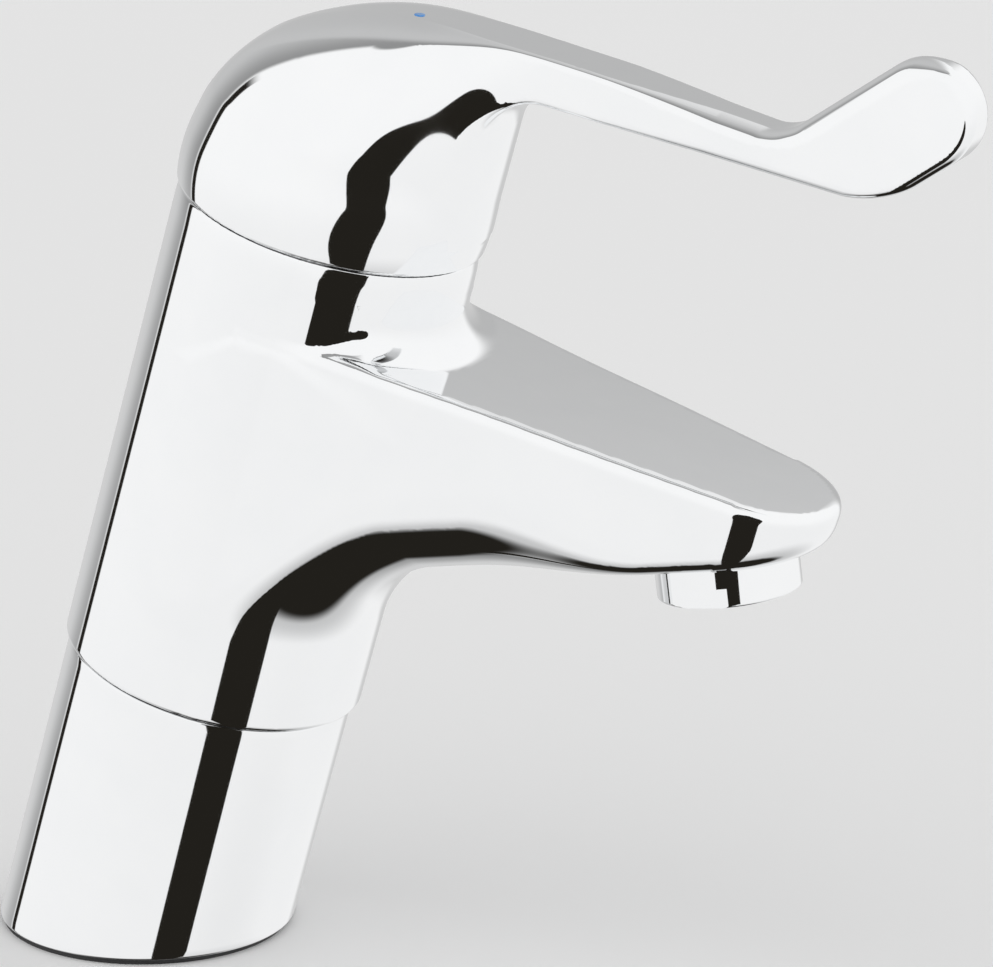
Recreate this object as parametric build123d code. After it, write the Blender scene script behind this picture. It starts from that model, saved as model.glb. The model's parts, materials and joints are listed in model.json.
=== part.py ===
from build123d import *
import math
import os

os.makedirs("parts", exist_ok=True)

# Elbow lever basin tap. A hollow pedestal sleeve and a cast body lean forward
# together, the spout grows out of the body, and a domed handle with a long
# elbow lever caps the ceramic disc cartridge.
#
# Every piece is drawn upright, with the leaning centre line as its Z axis and
# the spout towards +X, and is leaned forward just before it is written.

# The whole tap
lean_angle = 15.9
overrun = 40.0
thread_gap = 0.05
running_gap = 0.08

# Deck gasket and pedestal sleeve
pedestal_step = 1.0
pedestal_wall = 2.6
pedestal_top = 53.5
base_gasket_thickness = 1.0
base_gasket_inset = 0.9
deck_flange_thickness = 4.0
deck_flange_width = 9.4
pedestal_web_thickness = 4.0
pedestal_web_width = 11.4

# Screws that hold the pedestal to the body
screw_radius = 2.0
screw_reach = 8.0
screw_head_radius = 3.4
screw_head_height = 2.4
screw_socket_radius = 1.5
screw_inset = 8.2
screw_boss_radius = 5.4
screw_boss_height = 12.0

# Gasket between pedestal and body
pedestal_gasket_thickness = 0.5
pedestal_gasket_inset = 0.7

# Body casting
body_radius = 27.4
body_rim_height = 37.6
body_skirt_wall = 3.0
body_floor_thickness = 14.0
body_top_rounding = 1.2
body_bottom_rounding = 0.9

# Cartridge seat and water ways in the body
seat_height = 106.0
cartridge_bore_radius = 17.7
nut_bore_radius = 20.0
nut_bore_depth = 9.8
inlet_setback = 3.0
inlet_offset = 9.0
inlet_thread_radius = 4.5
inlet_thread_depth = 11.0
inlet_boss_radius = 7.0
inlet_boss_drop = 10.0
inlet_passage_radius = 3.0
outlet_forward = 8.5
outlet_passage_radius = 4.0
cross_way_radius = 4.6
cross_way_drop = 7.4

# Stud boss under the body, which stands upright in the leaning body
stud_forward = 8.0
stud_thread_radius = 3.4
stud_thread_depth = 14.0
stud_mouth_height = 64.0
stud_boss_radius = 6.8

# Spout
spout_shoulder_drop = 15.3
nose_overhang = 14.4
spout_root_inset = 0.2
spout_under_angle = 23.4
spout_flank_rounding = 2.4
spout_under_rounding = 4.5
spout_outline_shares = ((0.05, 1.0), (0.21, 0.985), (0.30, 0.915), (0.41, 0.835), (0.50, 0.785), (0.69, 0.695))
spout_tip_shares = ((0.69, 0.695), (0.84, 0.615), (0.935, 0.475), (0.987, 0.24), (1.0, 0.0))
spout_wall = 3.4
spout_way_start = 22.0
spout_way_start_width = 26.0
spout_way_start_height = 25.0
spout_way_floor_drop = 1.2
spout_way_end_width = 15.0
spout_way_end_height = 7.5
spout_way_rounding = 2.5

# Aerator, screwed up into the spout's nose
aerator_reach = 89.9
aerator_drop = 21.4
aerator_radius = 12.73
aerator_stand = 6.7
aerator_thread_radius = 11.75
aerator_thread_length = 6.3
aerator_bore_radius = 10.1
aerator_lip_radius = 9.2
aerator_lip_height = 0.8
aerator_lip_rounding = 0.5
aerator_flat_distance = 11.9
aerator_flat_height = 3.5
aerator_gasket_thickness = 1.8
aerator_gasket_bore_radius = 8.4
insert_height = 7.6
insert_wall = 1.1
insert_rib = 0.8
insert_rib_spacing = 3.0
insert_rib_count = 5
screen_thickness = 0.8
screen_hole_radius = 0.8
screen_hole_spacing = 2.6
screen_hole_rows = 2

# Cartridge
cartridge_radius = 17.2
cartridge_base_height = 5.6
cartridge_base_gap = 0.4
port_seal_height = 2.0
port_seal_wall = 1.7
o_ring_radius = 0.85
o_ring_height = 3.2
disc_height = 4.0
fixed_disc_radius = 14.2
moving_disc_radius = 10.8
moving_disc_height = 3.5
mixing_pocket_depth = 1.6
mixing_pocket_width = 10.8
mixing_pocket_rounding = 2.7
disc_gap = 0.05
carrier_radius = 11.4
carrier_height = 3.4
carrier_column_radius = 4.8
carrier_column_height = 6.4
housing_wall = 1.3
housing_lid = 1.4
rotor_neck_radius = 9.6
rotor_neck_height = 13.0
rotor_slot_length = 13.4
rotor_shoulder_drop = 3.6
glide_ring_height = 0.9
limiter_radius = 12.6
limiter_height = 3.0
limiter_notch_width = 2.4
limiter_notch_count = 12

# Lever stem and its pin
pivot_rise = 31.5
lift_angle = 25.0
stem_width = 8.0
stem_length = 41.0
stem_square_drop = 4.5
stem_arm_length = 10.0
stem_arm_radius = 1.7
stem_ball_radius = 2.5
pin_radius = 1.5

# Retaining nut and cover cap
nut_height = 6.8
nut_bore = 13.0
nut_slot_width = 4.0
nut_slot_depth = 2.2
nut_slot_count = 4
cap_step = 0.2
cap_wall = 1.3
cap_foot_inset = 1.3
cap_opening_radius = 13.2

# Handle
handle_centre_rise = 5.2
handle_step = 0.9
handle_wall = 2.6
handle_seam_gap = 0.3
handle_lip = 0.3
handle_rim_height = 2.6
handle_socket_gap = 0.75
rim_bulge_shares = (0.75, 0.45)
vault_fullness_share = 1.05
vault_shares = (
    (-0.95, 0.305, 0.312),
    (-0.88, 0.465, 0.555),
    (-0.625, 0.768, 0.862),
    (-0.445, 0.880, 0.979),
    (-0.166, 0.970, 1.127),
    (0.05, 0.980, 1.208),
    (0.233, 0.955, 1.258),
    (0.45, 0.860, 1.290),
    (0.657, 0.690, 1.311),
    (0.85, 0.480, 1.321),
    (1.02, 0.330, 1.330),
)
arm_half_width = 7.0
arm_thickness = 7.1
arm_edge_rounding = 1.6
arm_length = 58.0
arm_rise = 3.1
elbow_rounding = 5.0
paddle_angle = 50.5
paddle_half_height = 9.6
paddle_half_width = 6.6
paddle_reach = 22.4
paddle_rise = 11.5
paddle_heel_rounding = 8.0
neck_inset = 0.1
neck_throat_rounding = 7.0

# Boss, grub screw, plug and mark in the handle
boss_radius = 8.3
stem_socket_gap = 0.05
grub_height = 33.5
grub_radius = 2.5
grub_length = 8.0
grub_key_radius = 1.25
grub_key_depth = 2.5
grub_angle = 25.0
grub_rib_width = 11.0
plug_radius = 3.2
plug_length = 2.6
plug_recess = 0.3
mark_radius = 0.95
mark_depth = 0.5
mark_forward = 7.6
mark_side = 2.4

# Worked out from the sizes above
body_ceiling = seat_height - body_floor_thickness
body_top = seat_height + body_rim_height
cross_way_height = seat_height - cross_way_drop
pivot_height = seat_height + pivot_rise
handle_centre = body_top + handle_centre_rise
spout_top = body_top - spout_shoulder_drop
spout_reach = aerator_reach + nose_overhang
aerator_mouth_height = spout_top - aerator_drop
pedestal_radius = body_radius - pedestal_step
deck_flange_opening_radius = pedestal_radius - deck_flange_width
pedestal_web_opening_radius = pedestal_radius - pedestal_web_width
screw_offset = body_radius - screw_inset
spout_root_width = 2 * (body_radius - spout_root_inset)
cap_radius = body_radius + cap_step
cap_foot_radius = body_radius - cap_foot_inset
handle_radius = body_radius + handle_step
handle_socket_radius = cap_radius + handle_socket_gap
neck_front = handle_radius - neck_inset
arm_start = handle_radius * vault_shares[-3][0]
arm_start_rise = handle_radius * vault_shares[-3][2]
elbow_out = arm_start + arm_length
elbow_up = arm_start_rise + arm_rise
paddle_out = elbow_out + paddle_reach
paddle_up = elbow_up + paddle_rise
body_bottom = pedestal_top + pedestal_gasket_thickness
rotor_radius = cartridge_radius - housing_wall - running_gap
base_bottom = seat_height + cartridge_base_gap
base_top = base_bottom + cartridge_base_height
moving_disc_bottom = base_top + disc_height + disc_gap
carrier_bottom = moving_disc_bottom + moving_disc_height
rest_lean = lift_angle / 2
stem_swing = stem_arm_length * math.sin(math.radians(rest_lean))
rotor_shoulder = pivot_height - rotor_shoulder_drop
glide_ring_bottom = rotor_shoulder + disc_gap
lid_bottom = glide_ring_bottom + glide_ring_height + disc_gap
lid_top = lid_bottom + housing_lid
inlet_mouth = body_ceiling - inlet_boss_drop
handle_foot = body_top + handle_seam_gap

leaning = Plane(
    origin=(0, 0, 0),
    x_dir=(math.cos(math.radians(lean_angle)), 0, -math.sin(math.radians(lean_angle))),
    z_dir=(math.sin(math.radians(lean_angle)), 0, math.cos(math.radians(lean_angle))),
).location


def disc(radius, low, high, x=0, y=0):
    """A round bar along the centre line, from one height to another."""
    return Pos(x, y, (low + high) / 2) * Cylinder(radius, high - low)


def ring(outer, inner, low, high, x=0, y=0):
    """A plain ring along the centre line."""
    return disc(outer, low, high, x, y) - disc(inner, low - thread_gap, high + thread_gap, x, y)


def block(length, width, low, high, x=0, y=0):
    """A square bar along the centre line, from one height to another."""
    return Pos(x, y, (low + high) / 2) * Box(length, width, high - low)


def ball(radius, height):
    return Pos(0, 0, height) * Sphere(radius)


def stem_frame(shape):
    """Moves a shape drawn on the stem's own axis to the stem's lean at rest."""
    return Pos(0, 0, pivot_height) * Rot(0, rest_lean, 0) * shape


def aerator_frame(shape):
    """Moves a shape drawn on the aerator's axis to the nose of the spout."""
    return Pos(aerator_reach, 0, aerator_mouth_height) * Rot(0, -spout_under_angle, 0) * shape


def save(node, shape, leaned=True):
    export_step(leaning * shape if leaned else shape, f"parts/{node}.step")


# Pedestal sleeve: a tube with a flange on the deck and a web under the body
def pedestal_slice(radius, low, high):
    """The leaning round bar of this radius between two level planes."""
    bar = leaning * disc(radius, -overrun, pedestal_top)
    return bar & block(4 * overrun, 4 * overrun, low, high)


def make_pedestal():
    sleeve = leaning * disc(pedestal_radius, -overrun, pedestal_top)
    sleeve -= pedestal_slice(pedestal_radius, -overrun, base_gasket_thickness)
    sleeve -= block(4 * overrun, 4 * overrun, -2 * overrun, -overrun / 2)
    inner = pedestal_radius - pedestal_wall
    hollow = leaning * disc(inner, -overrun, pedestal_top - pedestal_web_thickness)
    floor_top = base_gasket_thickness + deck_flange_thickness
    sleeve -= hollow & block(4 * overrun, 4 * overrun, floor_top, 2 * overrun)
    sleeve -= disc(deck_flange_opening_radius, -overrun, floor_top + thread_gap)
    sleeve -= leaning * disc(pedestal_web_opening_radius, pedestal_top / 2, pedestal_top + thread_gap)
    for side in (-1, 1):
        hole_radius = screw_radius + thread_gap
        hole = disc(hole_radius, pedestal_top / 2, pedestal_top + thread_gap, 0, side * screw_offset)
        sleeve -= leaning * hole
    return sleeve


def make_base_gasket():
    plate = pedestal_slice(pedestal_radius - base_gasket_inset, 0, base_gasket_thickness)
    return plate - disc(deck_flange_opening_radius, -overrun, overrun)


def make_pedestal_screws():
    screws = []
    for side in (-1, 1):
        head_top = pedestal_top - pedestal_web_thickness
        head = disc(screw_head_radius, head_top - screw_head_height, head_top)
        socket = extrude(RegularPolygon(screw_socket_radius, 6), screw_head_height / 2)
        head -= Pos(0, 0, head_top - screw_head_height) * socket
        shank = disc(screw_radius, head_top, body_bottom + screw_reach)
        screws.append(Pos(0, side * screw_offset, 0) * (head + shank))
    return Compound(screws)


def make_pedestal_gasket():
    inner = body_radius - body_skirt_wall
    return ring(pedestal_radius - pedestal_gasket_inset, inner, pedestal_top, body_bottom)


# Spout: a side outline and a plan outline, each drawn through, meet in it
def under_height(forward):
    """Height of the spout's sloping underside, where the aerator seats."""
    seat_x = aerator_reach - aerator_stand * math.sin(math.radians(spout_under_angle))
    seat_z = aerator_mouth_height + aerator_stand * math.cos(math.radians(spout_under_angle))
    return seat_z + (forward - seat_x) * math.tan(math.radians(spout_under_angle))


def is_underside(face):
    """Whether a face of the spout is its flat, downward-facing underside."""
    return face.geom_type == GeomType.PLANE and face.normal_at().Z < -math.cos(math.radians(2 * spout_under_angle))


def spout_plan():
    half = spout_root_width / 2
    flank = [(spout_reach * along, half * across) for along, across in spout_outline_shares]
    tip = [(spout_reach * along, half * across) for along, across in spout_tip_shares]
    slope = (flank[-1][0] - flank[-2][0], flank[-1][1] - flank[-2][1])
    side_line = Spline(*flank, tangents=((1, 0), slope))
    tip_line = Spline(*tip, tangents=(slope, (0, -1)))
    upper = Polyline((0, 0), (0, half), flank[0]) + side_line + tip_line + Line(tip[-1], (0, 0))
    half_face = make_face(upper)
    return half_face + mirror(half_face, Plane.XZ)


def make_spout():
    nose_low = under_height(spout_reach)
    side_outline = make_face(Plane.XZ * Polyline(
        (0, under_height(0)),
        (spout_reach, nose_low),
        (spout_reach, spout_top),
        (0, spout_top),
        close=True,
    ))
    slab = extrude(side_outline, spout_root_width, both=True)
    column = extrude(spout_plan(), 2 * spout_top)
    spout = slab & column
    top_face = spout.faces().sort_by(Axis.Z)[-1]
    spout = fillet(top_face.edges().filter_by(GeomType.BSPLINE), spout_flank_rounding)
    under_face = spout.faces().filter_by(is_underside)[0]
    return fillet(under_face.edges().filter_by(GeomType.BSPLINE), spout_under_rounding)


def make_body_casting():
    barrel = disc(body_radius, body_bottom, body_top)
    barrel = fillet(barrel.edges().sort_by(Axis.Z)[-1:], body_top_rounding)
    barrel = fillet(barrel.edges().sort_by(Axis.Z)[:1], body_bottom_rounding)
    body = barrel + make_spout()
    # Hollow skirt below the ceiling, with the screw, inlet and stud bosses left in it
    hollow = disc(body_radius - body_skirt_wall, body_bottom - thread_gap, body_ceiling)
    for side in (-1, 1):
        boss_top = body_bottom + screw_boss_height
        hollow -= disc(screw_boss_radius, body_bottom - overrun, boss_top, 0, side * screw_offset)
        hollow -= disc(inlet_boss_radius, inlet_mouth, body_ceiling, -inlet_setback, side * inlet_offset)
    stud_boss = disc(stud_boss_radius, stud_mouth_height, 2 * stud_mouth_height, stud_forward)
    hollow -= leaning.inverse() * stud_boss
    body -= hollow
    for side in (-1, 1):
        body -= disc(screw_radius + thread_gap, body_bottom - thread_gap,
                     body_bottom + screw_reach + thread_gap, 0, side * screw_offset)
        body -= disc(inlet_thread_radius, inlet_mouth - thread_gap, inlet_mouth + inlet_thread_depth,
                     -inlet_setback, side * inlet_offset)
        body -= disc(inlet_passage_radius, inlet_mouth, seat_height + thread_gap,
                     -inlet_setback, side * inlet_offset)
    stud_hole = disc(stud_thread_radius, stud_mouth_height - thread_gap,
                     stud_mouth_height + stud_thread_depth, stud_forward)
    body -= leaning.inverse() * stud_hole
    # Cartridge bore, nut bore and the mixed water way forward into the spout
    body -= disc(cartridge_bore_radius, seat_height, body_top + thread_gap)
    body -= disc(nut_bore_radius, body_top - nut_bore_depth, body_top + thread_gap)
    body -= disc(outlet_passage_radius, cross_way_height, seat_height + thread_gap, outlet_forward)
    way_length = spout_way_start + spout_way_rounding - outlet_forward
    cross_way = Rot(0, 90, 0) * Cylinder(cross_way_radius, way_length)
    body -= Pos(outlet_forward + way_length / 2, 0, cross_way_height) * cross_way
    body -= make_spout_way()
    socket = disc(aerator_thread_radius + thread_gap, aerator_stand - overrun / 4,
                  aerator_stand + aerator_thread_length + aerator_gasket_thickness)
    body -= aerator_frame(socket)
    return body


def make_spout_way():
    """The hollow in the spout: a tapered way between root and aerator, and a well above it."""
    well_top = spout_top - spout_wall
    well_end = aerator_stand + aerator_thread_length + aerator_gasket_thickness
    well = aerator_frame(disc(aerator_gasket_bore_radius, aerator_stand, 2 * well_end))
    well &= block(4 * overrun, 4 * overrun, 0, well_top)
    start_low = cross_way_height - cross_way_radius - spout_way_floor_drop
    start_high = start_low + spout_way_start_height
    end_x = aerator_reach - well_end * math.sin(math.radians(spout_under_angle))
    end_low = well_top - spout_way_end_height
    start_plane = Plane(origin=(spout_way_start, 0, (start_low + start_high) / 2), x_dir=(0, 1, 0), z_dir=(1, 0, 0))
    end_plane = Plane(origin=(end_x, 0, (end_low + well_top) / 2), x_dir=(0, 1, 0), z_dir=(1, 0, 0))
    start = RectangleRounded(spout_way_start_width, start_high - start_low, spout_way_rounding)
    end = RectangleRounded(spout_way_end_width, well_top - end_low, spout_way_rounding)
    return loft([start_plane * start, end_plane * end]) + well


# Aerator: chromed housing, moulded insert, wire screen and rubber washer
def make_aerator_housing():
    shell = disc(aerator_radius, 0, aerator_stand)
    shell = fillet(shell.edges().sort_by(Axis.Z)[:1], aerator_lip_rounding)
    shell += disc(aerator_thread_radius, aerator_stand, aerator_stand + aerator_thread_length)
    shell -= disc(aerator_lip_radius, -thread_gap, aerator_stand)
    shell -= disc(aerator_bore_radius, aerator_lip_height, overrun)
    for side in (-1, 1):
        cut_width = aerator_radius - aerator_flat_distance + overrun
        shell -= block(overrun, cut_width, -overrun, aerator_flat_height,
                       0, side * (aerator_flat_distance + cut_width / 2))
    return aerator_frame(shell)


def make_aerator_insert():
    outer = aerator_bore_radius - thread_gap
    low = aerator_lip_height
    high = low + insert_height
    bars = []
    for index in range(insert_rib_count):
        place = (index - (insert_rib_count - 1) / 2) * insert_rib_spacing
        bars.append(block(2 * outer, insert_rib, low, high, 0, place))
        bars.append(block(insert_rib, 2 * outer, low, high, place, 0))
    grid = bars[0].fuse(*bars[1:]) & disc(outer - insert_wall / 2, low, high)
    return aerator_frame(ring(outer, outer - insert_wall, low, high) + grid)


def make_aerator_screen():
    low = aerator_lip_height + insert_height
    plate = disc(aerator_bore_radius - thread_gap, low, low + screen_thickness)
    places = [index * screen_hole_spacing for index in range(-screen_hole_rows, screen_hole_rows + 1)]
    holes = [disc(screen_hole_radius, low - thread_gap, low + 2 * screen_thickness, x, y)
             for x in places for y in places
             if math.hypot(x, y) + screen_hole_radius < aerator_bore_radius - insert_wall]
    return aerator_frame(plate - holes)


def make_aerator_gasket():
    low = aerator_stand + aerator_thread_length
    return aerator_frame(ring(aerator_thread_radius, aerator_gasket_bore_radius, low,
                              low + aerator_gasket_thickness))


# Cartridge: base with ports, two ceramic discs, carrier, rotor and housing
def ports(low, high, grow=0):
    """The three water ports, as bars: two inlets and the mixed outlet."""
    inlets = [disc(inlet_passage_radius + grow, low, high, -inlet_setback, side * inlet_offset)
              for side in (-1, 1)]
    return inlets + [disc(outlet_passage_radius + grow, low, high, outlet_forward)]


def make_cartridge_base():
    base = disc(cartridge_radius, base_bottom, base_top)
    base -= ports(base_bottom - thread_gap, base_top + thread_gap)
    base -= ports(base_bottom - thread_gap, seat_height + port_seal_height, port_seal_wall + thread_gap)
    groove_middle = base_bottom + o_ring_height
    groove = ring(cartridge_bore_radius, cartridge_bore_radius - 2 * o_ring_radius - 2 * thread_gap,
                  groove_middle - o_ring_radius - thread_gap, groove_middle + o_ring_radius + thread_gap)
    return base - groove


def make_port_seals():
    top = seat_height + port_seal_height
    outer = ports(seat_height, top, port_seal_wall)
    inner = ports(seat_height - thread_gap, top + thread_gap)
    return Compound([wall - hole for wall, hole in zip(outer, inner)])


def make_cartridge_o_ring():
    centre_radius = cartridge_bore_radius - o_ring_radius - thread_gap / 2
    return Pos(0, 0, base_bottom + o_ring_height) * Torus(centre_radius, o_ring_radius)


def make_fixed_disc():
    return disc(fixed_disc_radius, base_top, base_top + disc_height) - ports(base_bottom, 2 * base_top)


def make_moving_disc():
    plate = disc(moving_disc_radius, moving_disc_bottom, carrier_bottom)
    pocket = block(mixing_pocket_width, mixing_pocket_width, moving_disc_bottom - thread_gap,
                   moving_disc_bottom + mixing_pocket_depth)
    pocket = fillet(pocket.edges().filter_by(Axis.Z), mixing_pocket_rounding)
    return Pos(-stem_swing, 0, 0) * (plate - pocket)


def make_disc_carrier():
    plate_top = carrier_bottom + carrier_height
    carrier = disc(carrier_radius, carrier_bottom, plate_top)
    carrier += disc(carrier_column_radius, plate_top, plate_top + carrier_column_height)
    socket_radius = stem_ball_radius + 2 * running_gap
    socket_floor = pivot_height - stem_arm_length - stem_ball_radius - 2 * thread_gap
    carrier -= disc(socket_radius, socket_floor, plate_top + overrun)
    return Pos(-stem_swing, 0, 0) * carrier


def make_cartridge_rotor():
    travel = stem_swing + 2 * running_gap
    cavity_top = carrier_bottom + carrier_height + carrier_column_height + 2 * running_gap
    shoulder_low = carrier_bottom + carrier_height / 2
    rotor = disc(rotor_radius, shoulder_low, rotor_shoulder)
    rotor += disc(rotor_neck_radius, rotor_shoulder, rotor_shoulder + rotor_neck_height)
    plate_room = carrier_radius + running_gap
    plate_top = carrier_bottom + carrier_height + running_gap
    rotor -= disc(plate_room + travel, shoulder_low - thread_gap, plate_top)
    column_room = carrier_column_radius + running_gap
    rotor -= block(2 * travel, 2 * column_room, shoulder_low, cavity_top)
    for side in (-1, 1):
        rotor -= disc(column_room, shoulder_low, cavity_top, side * travel)
    rotor -= block(rotor_slot_length, stem_width + 4 * running_gap, shoulder_low, 2 * rotor_shoulder)
    pin_hole = Rot(90, 0, 0) * Cylinder(pin_radius, 2 * overrun)
    return rotor - Pos(0, 0, pivot_height) * pin_hole


def make_stem_pin():
    return Pos(0, 0, pivot_height) * Rot(90, 0, 0) * Cylinder(pin_radius, 2 * rotor_neck_radius - running_gap)


def make_rotor_glide_ring():
    return ring(rotor_radius - running_gap, rotor_neck_radius + running_gap,
                glide_ring_bottom, glide_ring_bottom + glide_ring_height)


def make_cartridge_housing():
    shell = disc(cartridge_radius, base_top, lid_top)
    shell -= disc(cartridge_radius - housing_wall, base_top - thread_gap, lid_bottom)
    return shell - disc(rotor_neck_radius + running_gap, lid_bottom - thread_gap, lid_top + thread_gap)


def make_limiter_ring():
    body = ring(limiter_radius, rotor_neck_radius + running_gap, lid_top, lid_top + limiter_height)
    notch = block(limiter_notch_width / 2, limiter_notch_width, lid_top + limiter_height / 2,
                  lid_top + 2 * limiter_height, limiter_radius)
    return body - [Rot(0, 0, 360 / limiter_notch_count * turn) * notch for turn in range(limiter_notch_count)]


def make_retaining_nut():
    nut = ring(nut_bore_radius - 2 * thread_gap, nut_bore, lid_top, lid_top + nut_height)
    slot = block(2 * nut_bore_radius, nut_slot_width, lid_top + nut_height - nut_slot_depth,
                 lid_top + 2 * nut_height, nut_bore_radius + nut_bore / 2)
    return nut - [Rot(0, 0, 360 / nut_slot_count * turn) * slot for turn in range(nut_slot_count)]


# Cover cap: the part ball that the handle's skirt slides over
def make_cover_cap():
    cap = ball(cap_radius, pivot_height) & disc(cap_foot_radius, body_top, 2 * body_top)
    cap -= ball(cap_radius - cap_wall, pivot_height) & disc(cap_foot_radius - cap_wall, 0, 2 * body_top)
    return cap - disc(cap_opening_radius, body_top - thread_gap, 2 * body_top)


# Lever stem: a square bar on the pin, with a thin arm and a ball that drive the discs
def make_lever_stem():
    stem = block(stem_width, stem_width, -stem_square_drop, stem_length)
    stem += disc(stem_arm_radius, -stem_arm_length, 0)
    stem += ball(stem_ball_radius, -stem_arm_length)
    stem -= Rot(90, 0, 0) * Cylinder(pin_radius + running_gap / 2, 2 * stem_width)
    return stem_frame(stem)


# Handle: a dome turned about the centre line, with the lever drawn through it
def make_dome():
    foot = handle_foot - handle_centre
    rim = foot + handle_rim_height
    rim_radius = math.sqrt(handle_radius ** 2 - rim ** 2)
    lip_outer = math.sqrt(handle_socket_radius ** 2 - (handle_foot - pivot_height) ** 2) + handle_lip
    bulge_out, bulge_up = rim_bulge_shares
    bulge = (lip_outer + (rim_radius - lip_outer) * bulge_out, foot + handle_rim_height * bulge_up)
    skin = RadiusArc((0, handle_radius), (rim_radius, rim), handle_radius)
    edge = ThreePointArc((rim_radius, rim), bulge, (lip_outer, foot))
    close = Polyline((lip_outer, foot), (0, foot), (0, handle_radius))
    outline = make_face(Plane.XZ * (skin + edge + close))
    return Pos(0, 0, handle_centre) * revolve(outline, Axis.Z)


def lever_side():
    """Side outline of crest, arm, paddle and neck, measured from the dome's centre."""
    crest = [(handle_radius * along, handle_radius * up) for along, across, up in vault_shares]
    tilt = math.radians(paddle_angle)
    side_x = paddle_half_height * math.sin(tilt)
    side_z = paddle_half_height * math.cos(tilt)
    upper = (paddle_out - side_x, paddle_up + side_z)
    lower = (paddle_out + side_x, paddle_up - side_z)
    tip = (paddle_out + paddle_half_height * math.cos(tilt), paddle_up + paddle_half_height * math.sin(tilt))
    arm_slope = arm_rise / arm_length
    under_elbow_x = lower[0] - (lower[1] - elbow_up + arm_thickness) / math.tan(tilt)
    under_elbow = (under_elbow_x, elbow_up - arm_thickness + arm_slope * (under_elbow_x - elbow_out))
    throat = (neck_front, arm_start_rise - arm_thickness + arm_slope * (neck_front - arm_start))
    top = FilletPolyline((arm_start, arm_start_rise), (elbow_out, elbow_up), upper, radius=elbow_rounding)
    end = ThreePointArc(upper, tip, lower)
    under = FilletPolyline(lower, under_elbow, throat, (neck_front, 0),
                           radius=(paddle_heel_rounding, neck_throat_rounding))
    close = Polyline((neck_front, 0), (crest[0][0], 0), crest[0])
    return make_face(Plane.XZ * (Spline(*crest[:-2]) + top + end + under + close))


def lever_plan():
    """Plan outline of the arm and the paddle, from the middle of the dome outwards."""
    tip = paddle_out + paddle_half_height + arm_half_width
    half = FilletPolyline((0, 0), (0, arm_half_width), (elbow_out, arm_half_width),
                          (paddle_out, paddle_half_width), (tip, paddle_half_width), (tip, 0),
                          radius=arm_half_width / 2)
    face = make_face(half + Line((tip, 0), (0, 0)))
    return face + mirror(face, Plane.XZ)


def make_vault():
    """The top of the dome, drawn up and forward into the arm: half ellipses along its length."""
    sections = []
    for along, across, up in vault_shares:
        place = Plane.YZ.offset(handle_radius * along)
        sections.append(place * Ellipse(handle_radius * across, handle_radius * up * vault_fullness_share))
    vault = loft(sections) & Cylinder(neck_front + thread_gap, 4 * handle_radius)
    return vault & extrude(lever_side(), 2 * handle_radius, both=True)


def is_arm_edge(edge):
    """Whether an edge runs lengthwise along a side of the neck, the arm or the paddle."""
    across = abs(edge.tangent_at(0).Y) > math.sin(math.radians(lift_angle))
    return edge.center().X > neck_front / 2 and not across and edge.length > arm_edge_rounding


def make_lever_handle():
    slab = extrude(lever_side(), 2 * arm_half_width, both=True)
    column = extrude(lever_plan(), 2 * handle_centre, both=True)
    lever = slab & column
    lever = fillet(lever.edges().filter_by(is_arm_edge), arm_edge_rounding)
    outer = make_dome() + Pos(0, 0, handle_centre) * (make_vault() + lever)
    # The hollow keeps a boss on the stem's axis and a rib for the grub screw
    boss = stem_frame(disc(boss_radius, 0, 2 * stem_length))
    hollow = ball(handle_radius - handle_wall, handle_centre) - boss - grub_frame(
        block(2 * grub_rib_width, grub_rib_width, -grub_rib_width / 2, 2 * overrun))
    outer -= hollow & disc(handle_radius, handle_foot - thread_gap, 2 * handle_centre)
    outer -= ball(handle_socket_radius, pivot_height)
    socket = block(stem_width + 2 * stem_socket_gap, stem_width + 2 * stem_socket_gap, 0,
                   stem_length + stem_socket_gap)
    outer -= stem_frame(socket)
    outer -= grub_frame(disc(grub_radius + thread_gap, 0, overrun))
    outer -= grub_frame(disc(plug_radius + thread_gap, plug_start(), overrun))
    return outer - mark_pocket()


def grub_frame(shape):
    """Moves a shape drawn on the grub screw's axis, which starts on the stem's front face."""
    start = Pos(0, 0, pivot_height) * Rot(0, rest_lean, 0) * Pos(stem_width / 2 + stem_socket_gap, 0, grub_height)
    seat = start.position
    return Pos(seat.X, 0, seat.Z) * Rot(0, 90 + grub_angle, 0) * shape


def plug_start():
    """Distance along the grub screw's axis at which the plug's pocket begins."""
    start = Rot(0, rest_lean, 0) * Pos(stem_width / 2 + stem_socket_gap, 0, grub_height)
    to_front = (neck_front - start.position.X) / math.cos(math.radians(grub_angle))
    return to_front - plug_length - plug_recess - plug_radius * math.tan(math.radians(grub_angle))


def make_grub_screw():
    tip = grub_radius * math.tan(math.radians(grub_angle - rest_lean)) + thread_gap
    screw = disc(grub_radius, tip, grub_length)
    key = extrude(RegularPolygon(grub_key_radius, 6), grub_key_depth)
    return grub_frame(screw - Pos(0, 0, grub_length - grub_key_depth) * key)


def make_handle_plug():
    start = plug_start() + thread_gap
    plug = disc(plug_radius, start, start + plug_length)
    return grub_frame(fillet(plug.edges().sort_by(Axis.Z)[-1:], plug_recess))


def mark_frame(shape):
    crown = handle_radius * vault_shares[-5][2]
    return Pos(mark_forward, -mark_side, handle_centre + crown) * shape


def mark_pocket():
    return mark_frame(disc(mark_radius, -mark_depth, overrun))


def make_cold_mark():
    return mark_frame(disc(mark_radius - thread_gap / 2, -mark_depth, -mark_depth / 2))


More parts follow.
